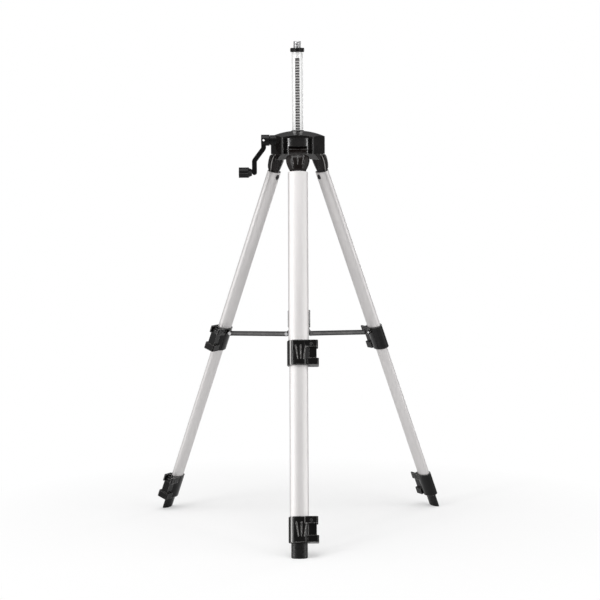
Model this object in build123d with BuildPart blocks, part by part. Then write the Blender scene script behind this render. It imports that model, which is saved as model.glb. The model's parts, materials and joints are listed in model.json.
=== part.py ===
from build123d import *
import math
import os

# Laser level tripod, in millimetres. The origin is where the instrument stud's axis
# meets the top of the platform; +Z is up, and the front leg points along -Y.

# Instrument seat: a 5/8 inch stud on a round platform.
STUD_RADIUS = 7.9375
STUD_LENGTH = 13.2
STUD_CHAMFER = 1.0
STUD_NECK_RADIUS = 7.0  # shank below the thread, in the platform
STUD_PLUG_GAP = 1.2  # plug in the column to the rack below it
PLATFORM_RADIUS = 14.0
PLATFORM_THICKNESS = 8.2
PLATFORM_ROUND = 1.2
PLATFORM_RELIEF = 1.0  # depth of the counterbore under the thread

# Centre column, its rack and its bush.
COLUMN_RADIUS = 11.0
COLUMN_WALL = 2.5
COLUMN_RAISE = 154.5  # platform underside to the top of the bush, at rest
BUSH_WALL = 1.5
BUSH_PROUD = 1.0  # height of the bush above the head
STOP_FLANGE = 4.0
STOP_GAP = 0.6
STOP_PLUG = 10.0
RACK_WIDTH = 8.6
RACK_DEPTH = 7.2
RACK_START = 12.0  # from the platform underside down to the rack
RACK_PITCH = 5.44
RACK_SETBACK = 0.12  # tooth tips' corners inside the column's round
GEAR_ADDENDUM = 1.4
GEAR_DEDENDUM = 1.8
GEAR_PRESSURE_ANGLE = 30.0
GEAR_BACKLASH = 0.3
PINION_TEETH = 9

# Head.
HEAD_HEIGHT = 45.9
HEAD_FACE = 45.4  # axis to each leg's face
HEAD_FACE_HALF = 31.0
HEAD_CORNER_ROUND = 6.0
BARREL_FRONT = 41.0  # axis to the fullest line of each leg's barrel
BARREL_RADIUS = 50.0
BRIM_DROP = 13.8  # top of the head to the underside of its brim
DOME_RADIUS = 132.0
YOKE_HALF = 28.5
SLOT_HALF = 18.3
SLOT_HEIGHT = 16.1
SLOT_WALL = 4.5  # between the column's bore and a leg slot
HINGE_RADIUS = 30.0  # axis to a leg's hinge
HINGE_RISE = 6.6  # hinge above the head's underside
HINGE_PIN_RADIUS = 2.5
HINGE_PIN_HALF = 26.0

# Crank.
CRANK_DROP = 18.3  # top of the head to the crank's axis
CRANK_BUSH_RADIUS = 10.0
CRANK_BUSH_END = 56.0  # column axis to the bush's outer face
SHAFT_RADIUS = 4.0
SHAFT_TAIL = 8.0  # stub of the shaft beyond the pinion
CRANK_HUB_RADIUS = 11.0
CRANK_HUB_LENGTH = 16.5
CRANK_SHAFT_GRIP = 7.5  # shaft's depth in the crank's hub
CRANK_ARM_WIDTH = 9.6
CRANK_ARM_DEPTH = 10.0
CRANK_ARM_DROP = 16.0  # crank axis to the arm's first bend
CRANK_ARM_KNEE = 40.5  # crank axis to the arm's second bend
CRANK_ARM_JOG = 18.5
CRANK_REACH = 64.0  # crank axis to grip axis
CRANK_WINDOW = 4.8
GRIP_RADIUS = 10.5
GRIP_LENGTH = 21.0
GRIP_NECK_RADIUS = 6.5
GRIP_NECK_LENGTH = 5.0
GRIP_SHOULDER = 2.0
GRIP_FLUTE_END = 3.0
GRIP_FLUTES = 8
GRIP_FLUTE_RADIUS = 2.4
GRIP_AXLE_RADIUS = 2.5
GRIP_AXLE_HEAD = 2.0

# Legs: nested oval tubes, measured along each leg from its hinge.
LEG_SPLAY = 20.83
LEG_SET = 8.5  # hinge to the tubes' mid plane, outwards
LEG_WIDTH = 39.4
LEG_THICKNESS = 21.2
LEG_SIDE_RADIUS = 7.5
TUBE_WALL = 1.3
TUBE_GAP = 0.5
CAP_NECK_HALF = 18.0
CAP_KNUCKLE_RADIUS = 7.5
CAP_SHOULDER = 15.0
CAP_LENGTH = 33.3
CAP_PLUG = 33.5
CAP_SWELL = 7.2  # widest width over the tube's
CAP_BULGE = 7.0  # fullest bulge of the outer side
CAP_INSET = 2.5  # cap's inner face inside the tube's
CAP_RIBS = (1.0, 20.0, 12.5, 8.8, 0.0)  # start, length, spread at top and bottom, shift
UPPER_TUBE_SHOWN = 342.0
MIDDLE_TUBE_SHOWN = 291.7
FOOT_SHOWN = 28.5
TUBE_OVERLAP = 66.0  # tube kept inside the lock above it at full stretch
LOWER_SLIDE_LENGTH = 270.0
GLIDE_FLANGE = 4.0
GLIDE_PLUG = 14.0
FOOT_INSET = 0.6
FOOT_PLUG = 20.0
FOOT_COVER = 6.0  # length of the foot hidden in the lock at rest
FOOT_ROUND = 1.5

# Lever locks.
LOCK_LENGTH = 49.5
LOCK_WALL = 2.6
LOCK_SEAT = 30.0  # depth of the outer tube in the lock
LOCK_RIM_ROUND = 1.0
CAM_RADIUS = 5.4
CAM_OFFSET = 0.7
CAM_HALF = 7.3
CAM_RIM = 1.4  # lock's top rim to the cam's window
CHEEK_REACH = 13.1  # lever pin to the cheeks' outer end
CHEEK_HEIGHT = 13.2
CHEEK_THICKNESS = 3.8
BLOCK_CORNER = 2.6  # outer corners of the cheeks and the finger pad
LEVER_PIN_RADIUS = 2.4
LEVER_PIN_PROUD = 0.6
LEVER_WRAP = 5.0  # how far the lever reaches round the collar
LEVER_WAIST = 10.3  # lever pin to the tongue's outer face
LEVER_REACH = 14.5  # lever pin to the pad's outer face
LEVER_SHORT = 0.6  # lever tip above the lock's lower rim
LEVER_PAD = 13.0
PAD_HALF = 11.4
TONGUE_CORNER = 4.0
RIB_WIDTH = 2.0
RIB_HEIGHT = 0.9
LOCK_RIBS = (11.0, 27.0, 10.0, 5.5, 4.0)  # and how far they stand towards the lever

# Spreader.
BRACE_DROP = 7.6  # lock's top rim to the brace pivot
BRACE_HEIGHT = 9.6
BRACE_THICKNESS = 3.0
BRACE_GROOVE = 4.4
BRACE_GROOVE_DEPTH = 0.6
LUG_THICKNESS = 4.0
RIVET_RADIUS = 2.0
RIVET_HEAD_RADIUS = 3.6
RIVET_HEAD = 1.6
HUB_RADIUS = 22.8
HUB_WALL = 2.8
HUB_HEIGHT = 34.0
HUB_LIFT = 15.0  # brace pivot to the sleeve's lower rim
HUB_PIVOT_RADIUS = 26.5
HUB_PIVOT_RISE = 6.0  # hub pivots above the lock pivots
HUB_TOP_HOLE = 13.0

# Clearances.
PRESS = 0.05  # pieces that are fixed together
RUNNING = 0.08  # shafts and pins that turn
SLIDING = 0.3  # pieces that move past each other

LEGS = {"front": -90.0, "right": 30.0, "left": 150.0}

# Heights.
column_top = -PLATFORM_THICKNESS
bush_top = column_top - COLUMN_RAISE
head_top = bush_top - BUSH_PROUD
head_bottom = head_top - HEAD_HEIGHT
brim_bottom = head_top - BRIM_DROP
crank_z = head_top - CRANK_DROP
hinge_z = head_bottom + HINGE_RISE
column_bottom = head_bottom - STOP_GAP
column_bore = COLUMN_RADIUS - COLUMN_WALL

# Rack and pinion.
pressure = math.radians(GEAR_PRESSURE_ANGLE)
pinion_pitch = PINION_TEETH * RACK_PITCH / (2 * math.pi)
pinion_tip = pinion_pitch + GEAR_ADDENDUM
pinion_root = pinion_pitch - GEAR_DEDENDUM
rack_tip_y = RACK_SETBACK - math.sqrt(COLUMN_RADIUS**2 - (RACK_WIDTH / 2) ** 2)
rack_pitch_y = rack_tip_y + GEAR_ADDENDUM
crank_y = rack_pitch_y - pinion_pitch
pinion_half = RACK_WIDTH / 2

# Legs: four-arc oval of the upper tube.
side_centre = LEG_WIDTH / 2 - LEG_SIDE_RADIUS
face_radius = side_centre**2 + (LEG_THICKNESS / 2) ** 2 - LEG_SIDE_RADIUS**2
face_radius /= LEG_THICKNESS - 2 * LEG_SIDE_RADIUS
face_centre = face_radius - LEG_THICKNESS / 2
blend_angle = math.degrees(math.atan2(side_centre, face_centre))

# Legs: how far each surface lies inside the upper tube's outline.
upper_inner = TUBE_WALL
middle_outer = upper_inner + TUBE_GAP
middle_inner = middle_outer + TUBE_WALL
lower_outer = middle_inner + TUBE_GAP
lower_inner = lower_outer + TUBE_WALL

# Legs: stations along the leg.
tube_top = CAP_SHOULDER + CAP_LENGTH
upper_lock = tube_top + UPPER_TUBE_SHOWN
lower_lock = upper_lock + LOCK_LENGTH + MIDDLE_TUBE_SHOWN
middle_top = upper_lock + LOCK_LENGTH - TUBE_OVERLAP
lower_top = lower_lock + LOCK_LENGTH - TUBE_OVERLAP - LOWER_SLIDE_LENGTH
lower_end = lower_lock + LOCK_LENGTH - FOOT_COVER
floor_station = lower_lock + LOCK_LENGTH + FOOT_SHOWN

# Lever locks.
cam_reach = CAM_RADIUS + CAM_OFFSET
pin_drop = cam_reach + SLIDING + CAM_RIM
cheek_inner = CAM_HALF + SLIDING
cheek_outer = cheek_inner + CHEEK_THICKNESS

# Spreader.
brace_end = BRACE_HEIGHT / 2
brace_set = LEG_THICKNESS / 2 + LOCK_WALL + brace_end + 2 * SLIDING
brace_inner = LUG_THICKNESS / 2 + SLIDING
brace_outer = brace_inner + BRACE_THICKNESS
splay = math.radians(LEG_SPLAY)
axis_radius = HINGE_RADIUS + LEG_SET * math.cos(splay)
axis_z = hinge_z + LEG_SET * math.sin(splay)
brace_station = upper_lock + BRACE_DROP
lock_pivot_r = axis_radius - brace_set * math.cos(splay) + brace_station * math.sin(splay)
lock_pivot_z = axis_z - brace_set * math.sin(splay) - brace_station * math.cos(splay)
hub_pivot_z = lock_pivot_z + HUB_PIVOT_RISE
floor_z = axis_z - floor_station * math.cos(splay)


def save(name, piece):
    """Labels a finished piece and writes its STEP file."""
    piece.part.label = name
    export_step(piece.part, f"parts/{name}.step")


def radial(azimuth):
    """Outward and sideways unit vectors of the leg at an azimuth."""
    angle = math.radians(azimuth)
    outward = Vector(math.cos(angle), math.sin(angle), 0)
    return outward, Vector(-outward.Y, outward.X, 0)


class LegFrame:
    """A leg's planes: their shared origin is on the tubes' axis, level with the hinge."""

    def __init__(self, azimuth):
        outward, sideways = radial(azimuth)
        up = Vector(0, 0, 1)
        down_leg = outward * math.sin(splay) - up * math.cos(splay)
        face = outward * math.cos(splay) + up * math.sin(splay)
        origin = outward * axis_radius + up * axis_z
        # Across the tube: x sideways, y out of the outer face, z down the leg.
        self.section = Plane(origin, x_dir=sideways, z_dir=down_leg)
        # Seen from outside: x sideways, y down the leg.
        self.side = Plane(origin, x_dir=sideways, z_dir=-face)
        # Seen along the hinge: x out of the outer face, y down the leg.
        self.cross = Plane(origin, x_dir=face, z_dir=sideways)

    def at(self, station):
        return self.section.offset(station)


class BraceFrame:
    """Plane of a leg's brace: x outwards, y up, z sideways."""

    def __init__(self, azimuth):
        outward, sideways = radial(azimuth)
        self.plane = Plane((0, 0, 0), x_dir=outward, z_dir=-sideways)


def oval(inset=0.0, mode=Mode.ADD):
    """Adds the tubes' oval to the open sketch, moved inwards from the upper tube's outline."""
    side = LEG_SIDE_RADIUS - inset
    face = face_radius - inset
    side_span = 180 - 2 * blend_angle
    with BuildLine(Plane.XY) as outline:
        CenterArc((side_centre, 0), side, blend_angle - 90, side_span)
        CenterArc((0, -face_centre), face, 90 - blend_angle, 2 * blend_angle)
        CenterArc((-side_centre, 0), side, 90 + blend_angle, side_span)
        CenterArc((0, face_centre), face, 270 - blend_angle, 2 * blend_angle)
    make_face(outline.edges(), mode=mode)


def fan_of_ribs(origin, fan):
    """Adds three tapering strips to the open sketch, drawn together towards the bottom."""
    first, length, spread_top, spread_bottom, shift = fan
    for lean in (-1, 0, 1):
        top = shift + lean * spread_top
        bottom = shift + lean * spread_bottom
        half = RIB_WIDTH / 2
        start = origin + first
        end = start + length
        with BuildLine(Plane.XY) as strip:
            Polyline(
                (top - half, start),
                (top + half, start),
                (bottom + half / 2, end),
                (bottom - half / 2, end),
                close=True,
            )
        make_face(strip.edges())


def involute_half_angle(radius):
    """Half the angle that a pinion tooth takes up at a radius."""
    base = pinion_pitch * math.cos(pressure)
    local = math.acos(min(1.0, base / radius))
    at_pitch = math.pi / (2 * PINION_TEETH) - GEAR_BACKLASH / (4 * pinion_pitch)
    return at_pitch + (math.tan(pressure) - pressure) - (math.tan(local) - local)


def polar(radius, angle):
    return (radius * math.cos(angle), radius * math.sin(angle))


# Instrument stud, platform and column


def build_stud():
    plug_radius = column_bore - PRESS
    plug_bottom = column_top - RACK_START + STUD_PLUG_GAP
    with BuildPart() as stud:
        with BuildSketch(Plane.XZ):
            with BuildLine():
                Polyline(
                    (0, STUD_LENGTH),
                    (STUD_RADIUS - STUD_CHAMFER, STUD_LENGTH),
                    (STUD_RADIUS, STUD_LENGTH - STUD_CHAMFER),
                    (STUD_RADIUS, 0),
                    (STUD_NECK_RADIUS, 0),
                    (STUD_NECK_RADIUS, column_top),
                    (plug_radius, column_top),
                    (plug_radius, plug_bottom),
                    (0, plug_bottom),
                    close=True,
                )
            make_face()
        revolve(axis=Axis.Z)
    save("instrument_stud", stud)


def build_platform():
    with BuildPart() as platform:
        with BuildSketch(Plane.XY.offset(column_top)):
            Circle(PLATFORM_RADIUS)
            Circle(STUD_NECK_RADIUS + PRESS, mode=Mode.SUBTRACT)
        extrude(amount=PLATFORM_THICKNESS)
        with BuildSketch():
            Circle(STUD_RADIUS + PRESS)
        extrude(amount=-PLATFORM_RELIEF, mode=Mode.SUBTRACT)
        rims = platform.edges().filter_by(GeomType.CIRCLE).group_by(SortBy.RADIUS)[-1]
        chamfer(rims, PLATFORM_ROUND)
    save("platform", platform)


def build_column():
    with BuildPart() as column:
        with BuildSketch(Plane.XY.offset(column_bottom)):
            Circle(COLUMN_RADIUS)
            Circle(column_bore, mode=Mode.SUBTRACT)
        extrude(amount=column_top - column_bottom)
        slot_height = column_top - RACK_START - column_bottom
        with BuildSketch(Plane.XY.offset(column_bottom)):
            with Locations((0, -COLUMN_RADIUS)):
                Rectangle(RACK_WIDTH + 2 * PRESS, COLUMN_RADIUS)
        extrude(amount=slot_height, mode=Mode.SUBTRACT)
    save("column_tube", column)


def build_rack():
    top = column_top - RACK_START - PRESS
    bottom = column_bottom + STOP_PLUG + PRESS
    half_pitch_line = RACK_PITCH / 4 - GEAR_BACKLASH / 4
    tip_half = half_pitch_line - GEAR_ADDENDUM * math.tan(pressure)
    root_half = half_pitch_line + GEAR_DEDENDUM * math.tan(pressure)
    root_y = rack_pitch_y + GEAR_DEDENDUM
    first = math.ceil((bottom - crank_z) / RACK_PITCH)
    last = math.floor((top - crank_z) / RACK_PITCH) - 1
    teeth = []
    for index in range(first, last + 1):
        middle = crank_z + (index + 0.5) * RACK_PITCH
        teeth += [
            (root_y, middle - root_half),
            (rack_tip_y, middle - tip_half),
            (rack_tip_y, middle + tip_half),
            (root_y, middle + root_half),
        ]
    back_y = rack_tip_y + RACK_DEPTH
    with BuildPart() as rack:
        with BuildSketch(Plane.YZ):
            with BuildLine():
                Polyline(
                    (back_y, bottom),
                    (root_y, bottom),
                    *teeth,
                    (root_y, top),
                    (back_y, top),
                    close=True,
                )
            make_face()
        extrude(amount=RACK_WIDTH / 2, both=True)
    save("column_rack", rack)


def build_column_stop():
    with BuildPart() as stop:
        with BuildSketch(Plane.XY.offset(column_bottom)):
            Circle(column_bore - PRESS)
        extrude(amount=STOP_PLUG)
        with BuildSketch(Plane.XY.offset(column_bottom)):
            Circle(COLUMN_RADIUS + BUSH_WALL)
        extrude(amount=-STOP_FLANGE)
        rim = stop.edges().filter_by(GeomType.CIRCLE).sort_by(Axis.Z)[0]
        chamfer(rim, STOP_FLANGE / 4)
    save("column_stop", stop)


# Head


def build_head():
    bore = COLUMN_RADIUS + BUSH_WALL + PRESS
    slot_start = bore + SLOT_WALL
    far = 2 * HEAD_FACE
    drop = math.sqrt(DOME_RADIUS**2 - far**2) - DOME_RADIUS
    half_drop = math.sqrt(DOME_RADIUS**2 - (far / 2) ** 2) - DOME_RADIUS
    corners = []
    for azimuth in LEGS.values():
        outward, sideways = radial(azimuth)
        for side in (-1, 1):
            corner = outward * HEAD_FACE + sideways * (side * HEAD_FACE_HALF)
            corners.append((corner.X, corner.Y))
    with BuildSketch() as recess:
        with Locations((slot_start, 0)):
            Rectangle(far, 2 * YOKE_HALF, align=(Align.MIN, Align.CENTER))
        with Locations((BARREL_FRONT - BARREL_RADIUS, 0)):
            Circle(BARREL_RADIUS, mode=Mode.SUBTRACT)
    with BuildPart() as head:
        with BuildSketch(Plane.XY.offset(head_bottom)) as outline:
            with BuildLine():
                Polyline(*corners, close=True)
            make_face()
            fillet(outline.vertices(), HEAD_CORNER_ROUND)
        extrude(amount=HEAD_HEIGHT)
        # Domed top.
        with BuildSketch(Plane.XZ):
            with BuildLine():
                ThreePointArc((0, head_top), (far / 2, head_top + half_drop), (far, head_top + drop))
                Polyline((far, head_top + drop), (far, head_bottom), (0, head_bottom), (0, head_top))
            make_face()
        revolve(axis=Axis.Z, mode=Mode.INTERSECT)
        # The legs' faces are set back under the brim to a round barrel.
        with BuildSketch(Plane.XY.offset(head_bottom)):
            with PolarLocations(0, 3, start_angle=LEGS["front"]):
                add(recess.sketch)
        extrude(amount=brim_bottom - head_bottom, mode=Mode.SUBTRACT)
        # Slots that the legs hinge in.
        with BuildSketch(Plane.XY.offset(head_bottom)):
            with PolarLocations(slot_start, 3, start_angle=LEGS["front"]):
                Rectangle(far, 2 * SLOT_HALF, align=(Align.MIN, Align.CENTER))
        extrude(amount=SLOT_HEIGHT, mode=Mode.SUBTRACT)
        for azimuth in LEGS.values():
            outward, sideways = radial(azimuth)
            hinge = outward * HINGE_RADIUS + Vector(0, 0, hinge_z)
            with BuildSketch(Plane(hinge, z_dir=sideways)):
                Circle(HINGE_PIN_RADIUS + PRESS)
            extrude(amount=HINGE_PIN_HALF + PRESS, both=True, mode=Mode.SUBTRACT)
        # Column bore, and the bores of the crank's bush, pinion and shaft.
        with BuildSketch(Plane.XY.offset(head_bottom)):
            Circle(bore)
        extrude(amount=HEAD_HEIGHT, mode=Mode.SUBTRACT)
        pinion_pocket = pinion_half + 3 * SLIDING
        with BuildSketch(Plane.YZ.offset(pinion_pocket)):
            with Locations((crank_y, crank_z)):
                Circle(CRANK_BUSH_RADIUS + PRESS)
        extrude(amount=-far, mode=Mode.SUBTRACT)
        with BuildSketch(Plane.YZ):
            with Locations((crank_y, crank_z)):
                Circle(SHAFT_RADIUS + RUNNING)
        extrude(amount=pinion_half + SHAFT_TAIL + SLIDING, mode=Mode.SUBTRACT)
    save("head", head)


def build_column_bush():
    outer = COLUMN_RADIUS + BUSH_WALL
    with BuildPart() as bush:
        with BuildSketch(Plane.XY.offset(head_bottom)):
            Circle(outer)
            Circle(COLUMN_RADIUS + RUNNING, mode=Mode.SUBTRACT)
        extrude(amount=bush_top - head_bottom)
        # Window that the pinion reaches the rack through.
        with BuildSketch(Plane.YZ):
            with Locations((crank_y, crank_z)):
                Circle(pinion_tip + SLIDING)
        extrude(amount=pinion_half + SLIDING, both=True, mode=Mode.SUBTRACT)
        rim = bush.edges().filter_by(GeomType.CIRCLE).group_by(Axis.Z)[-1].sort_by(SortBy.RADIUS)[-1]
        chamfer(rim, BUSH_WALL / 2)
    save("column_bush", bush)


def build_hinge_pins():
    with BuildPart() as pins:
        for azimuth in LEGS.values():
            outward, sideways = radial(azimuth)
            hinge = outward * HINGE_RADIUS + Vector(0, 0, hinge_z)
            with BuildSketch(Plane(hinge, z_dir=sideways)):
                Circle(HINGE_PIN_RADIUS)
            extrude(amount=HINGE_PIN_HALF, both=True)
    save("leg_hinge_pins", pins)


# Crank


def build_crank_bush():
    inner_end = COLUMN_RADIUS + BUSH_WALL + SLIDING
    with BuildPart() as bush:
        with BuildSketch(Plane.YZ.offset(-CRANK_BUSH_END)):
            with Locations((crank_y, crank_z)):
                Circle(CRANK_BUSH_RADIUS)
                Circle(SHAFT_RADIUS + RUNNING, mode=Mode.SUBTRACT)
        extrude(amount=CRANK_BUSH_END - inner_end)
        rim = bush.edges().filter_by(GeomType.CIRCLE).group_by(Axis.X)[0].sort_by(SortBy.RADIUS)[-1]
        chamfer(rim, PLATFORM_ROUND)
    save("crank_bush", bush)


def build_pinion_shaft():
    base = pinion_pitch * math.cos(pressure)
    middle = (base + pinion_tip) / 2
    shaft_end = -(CRANK_BUSH_END + SLIDING + CRANK_SHAFT_GRIP)
    axis_plane = Plane((0, crank_y, crank_z), x_dir=(0, 1, 0), z_dir=(1, 0, 0))
    low = involute_half_angle(base)
    mid = involute_half_angle(middle)
    high = involute_half_angle(pinion_tip)
    root_in = pinion_root * 0.9
    with BuildSketch() as tooth:
        with BuildLine():
            Line((root_in, -base * math.sin(low)), polar(base, -low))
            ThreePointArc(polar(base, -low), polar(middle, -mid), polar(pinion_tip, -high))
            ThreePointArc(polar(pinion_tip, -high), (pinion_tip, 0), polar(pinion_tip, high))
            ThreePointArc(polar(pinion_tip, high), polar(middle, mid), polar(base, low))
            Line(polar(base, low), (root_in, base * math.sin(low)))
            Line((root_in, base * math.sin(low)), (root_in, -base * math.sin(low)))
        make_face()
    with BuildPart() as shaft:
        with BuildSketch(axis_plane):
            Circle(pinion_root)
            with PolarLocations(0, PINION_TEETH):
                add(tooth.sketch)
        extrude(amount=pinion_half, both=True)
        with BuildSketch(axis_plane.offset(shaft_end)):
            Circle(SHAFT_RADIUS)
        extrude(amount=pinion_half + SHAFT_TAIL - shaft_end)
    save("pinion_shaft", shaft)


def build_crank_arm():
    hub_face = -(CRANK_BUSH_END + SLIDING)
    root_x = hub_face - CRANK_HUB_LENGTH + CRANK_ARM_WIDTH / 2
    low_x = root_x - CRANK_ARM_JOG
    grip_z = crank_z - CRANK_REACH
    window_x = hub_face - CRANK_HUB_LENGTH + CRANK_WINDOW
    arm_plane = Plane.XZ.offset(-crank_y)
    with BuildPart() as arm:
        with BuildSketch(arm_plane):
            with BuildLine():
                FilletPolyline(
                    (root_x, crank_z),
                    (root_x, crank_z - CRANK_ARM_DROP),
                    (low_x, crank_z - CRANK_ARM_KNEE),
                    (low_x, grip_z),
                    radius=CRANK_ARM_WIDTH * 0.7,
                )
            trace(line_width=CRANK_ARM_WIDTH)
            with Locations((low_x, grip_z)):
                Circle(CRANK_ARM_WIDTH / 2 + PRESS)
        extrude(amount=CRANK_ARM_DEPTH / 2, both=True)
        with BuildSketch(Plane.YZ.offset(hub_face)):
            with Locations((crank_y, crank_z)):
                Circle(CRANK_HUB_RADIUS)
        extrude(amount=-CRANK_HUB_LENGTH)
        with BuildSketch(Plane.YZ.offset(hub_face)):
            with Locations((crank_y, crank_z)):
                Circle(SHAFT_RADIUS + PRESS)
        extrude(amount=-(CRANK_SHAFT_GRIP + PRESS), mode=Mode.SUBTRACT)
        with BuildSketch(arm_plane):
            with Locations((window_x, crank_z)):
                RegularPolygon(CRANK_WINDOW / 2, side_count=6)
        extrude(amount=CRANK_HUB_RADIUS, both=True, mode=Mode.SUBTRACT)
        with BuildSketch(Plane.YZ.offset(low_x)):
            with Locations((crank_y, grip_z)):
                Circle(GRIP_AXLE_RADIUS + PRESS)
        extrude(amount=CRANK_ARM_WIDTH, both=True, mode=Mode.SUBTRACT)
    save("crank_arm", arm)
    return low_x - CRANK_ARM_WIDTH / 2


def build_grip_axle(arm_face):
    grip_z = crank_z - CRANK_REACH
    inner_end = arm_face + CRANK_ARM_WIDTH
    grip_end = arm_face - SLIDING - GRIP_NECK_LENGTH - GRIP_LENGTH
    outer_end = grip_end + GRIP_AXLE_HEAD
    axis_plane = Plane((0, crank_y, grip_z), x_dir=(0, 1, 0), z_dir=(1, 0, 0))
    with BuildPart() as axle:
        with BuildSketch(axis_plane.offset(outer_end)):
            Circle(GRIP_AXLE_RADIUS)
        extrude(amount=inner_end - outer_end)
        with BuildSketch(axis_plane.offset(outer_end)):
            Circle(GRIP_AXLE_RADIUS * 1.8)
        extrude(amount=GRIP_AXLE_HEAD)
    save("grip_axle", axle)


def build_grip(arm_face):
    grip_z = crank_z - CRANK_REACH
    neck_end = arm_face - SLIDING
    body_end = neck_end - GRIP_NECK_LENGTH
    end = body_end - GRIP_LENGTH
    axis_plane = Plane((0, crank_y, grip_z), x_dir=(0, 1, 0), z_dir=(1, 0, 0))
    spin = Axis((0, crank_y, grip_z), (1, 0, 0))
    head_pocket = end + 2 * GRIP_AXLE_HEAD + SLIDING
    with BuildPart() as grip:
        with BuildSketch(Plane.XZ.offset(-crank_y)):
            with BuildLine():
                Polyline(
                    (end, grip_z),
                    (end, grip_z + GRIP_RADIUS),
                    (body_end - GRIP_SHOULDER, grip_z + GRIP_RADIUS),
                    (body_end, grip_z + GRIP_RADIUS - GRIP_SHOULDER),
                    (neck_end, grip_z + GRIP_NECK_RADIUS),
                    (neck_end, grip_z),
                    close=True,
                )
            make_face()
        revolve(axis=spin)
        # Finger flutes, open at the outer end.
        with BuildSketch(axis_plane.offset(end)):
            with PolarLocations(GRIP_RADIUS + GRIP_FLUTE_RADIUS * 0.45, GRIP_FLUTES):
                Circle(GRIP_FLUTE_RADIUS)
        extrude(amount=GRIP_LENGTH - GRIP_FLUTE_END, mode=Mode.SUBTRACT)
        with BuildSketch(axis_plane.offset(end)):
            Circle(GRIP_AXLE_RADIUS + RUNNING)
        extrude(amount=GRIP_LENGTH + GRIP_NECK_LENGTH, mode=Mode.SUBTRACT)
        with BuildSketch(axis_plane.offset(end)):
            Circle(GRIP_AXLE_RADIUS * 1.8 + SLIDING)
        extrude(amount=head_pocket - end, mode=Mode.SUBTRACT)
    save("crank_grip", grip)


# Legs


def build_leg_cap(name, leg):
    with BuildPart() as ribs:
        loft_shoulder(leg, RIB_HEIGHT)
        with BuildSketch(leg.side):
            fan_of_ribs(CAP_SHOULDER, CAP_RIBS)
        extrude(amount=-LEG_WIDTH, mode=Mode.INTERSECT)
    with BuildPart() as cap:
        loft_shoulder(leg, 0)
        # Neck and knuckle.
        with BuildSketch(leg.cross):
            with Locations((-LEG_SET, 0)):
                Circle(CAP_KNUCKLE_RADIUS)
            foot = CAP_SHOULDER + CAP_LENGTH / 6
            with BuildLine():
                Polyline(
                    (-LEG_SET - CAP_KNUCKLE_RADIUS, 0),
                    (-LEG_THICKNESS * 0.38, foot),
                    (LEG_THICKNESS * 0.4, foot),
                    (-LEG_SET + CAP_KNUCKLE_RADIUS, 0),
                    close=True,
                )
            make_face()
        extrude(amount=CAP_NECK_HALF, both=True)
        add(ribs.part)
        # Plug in the tube.
        with BuildSketch(leg.at(tube_top)):
            oval(upper_inner + PRESS)
        extrude(amount=CAP_PLUG)
        with BuildSketch(leg.cross):
            with Locations((-LEG_SET, 0)):
                Circle(HINGE_PIN_RADIUS + RUNNING)
        extrude(amount=CAP_NECK_HALF, both=True, mode=Mode.SUBTRACT)
    save(f"{name}_leg_cap", cap)


def loft_shoulder(leg, grow):
    """Swelling shoulder of a leg cap, from under the head down to the tube."""
    # Share of the length, share of the swell sideways, and share of the bulge outwards.
    shares = ((0.0, 0.35, 0.5), (0.2, 1.0, 1.0), (0.42, 0.85, 1.0), (0.67, 0.1, 0.95), (1.0, -1.4, 0.25))
    outlines = []
    for along, sideways, outwards in shares:
        width = LEG_WIDTH + CAP_SWELL * sideways + 2 * grow
        thickness = LEG_THICKNESS - 2 * CAP_INSET + CAP_BULGE * outwards + 2 * grow
        with BuildSketch(leg.at(CAP_SHOULDER + CAP_LENGTH * along)) as outline:
            with Locations((0, CAP_BULGE * outwards / 2)):
                Ellipse(width / 2, thickness / 2)
        outlines.append(outline.sketch.face())
    loft(outlines)


def cut_cam_window(leg, lock_top, pin_side):
    """Opens the lever's side of a lock or tube for the cam to reach the tube inside."""
    half = cam_reach + SLIDING
    with BuildSketch(leg.side) as window:
        with Locations((pin_side - half, lock_top + pin_drop)):
            Rectangle(2 * half, 2 * half, align=(Align.MIN, Align.CENTER))
    extrude(window.sketch, amount=cheek_inner, both=True, mode=Mode.SUBTRACT)


def side_block(start, end, half):
    """Adds a block's section to the open sketch, on the lever's side, with its outer corners cut."""
    with BuildLine(Plane.XY) as outline:
        Polyline(
            (start, -half),
            (end - BLOCK_CORNER, -half),
            (end, BLOCK_CORNER - half),
            (end, half - BLOCK_CORNER),
            (end - BLOCK_CORNER, half),
            (start, half),
            close=True,
        )
    make_face(outline.edges())


def lever_pin_side(outer_inset):
    """Distance from a leg's mid plane to the pin of the lock on a tube."""
    inner_half = LEG_WIDTH / 2 - outer_inset - TUBE_WALL - TUBE_GAP
    return inner_half + SLIDING + cam_reach


def build_upper_tube(name, leg):
    with BuildPart() as tube:
        with BuildSketch(leg.at(tube_top)):
            oval(0)
            oval(upper_inner, mode=Mode.SUBTRACT)
        extrude(amount=upper_lock + LOCK_SEAT - tube_top)
        cut_cam_window(leg, upper_lock, lever_pin_side(0))
    save(f"{name}_upper_tube", tube)


def build_middle_tube(name, leg):
    with BuildPart() as tube:
        with BuildSketch(leg.at(middle_top)):
            oval(middle_outer)
            oval(middle_inner, mode=Mode.SUBTRACT)
        extrude(amount=lower_lock + LOCK_SEAT - middle_top)
        cut_cam_window(leg, lower_lock, lever_pin_side(middle_outer))
    save(f"{name}_middle_tube", tube)


def build_lower_tube(name, leg):
    with BuildPart() as tube:
        with BuildSketch(leg.at(lower_top)):
            oval(lower_outer)
            oval(lower_inner, mode=Mode.SUBTRACT)
        extrude(amount=lower_end - lower_top)
    save(f"{name}_lower_tube", tube)


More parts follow.
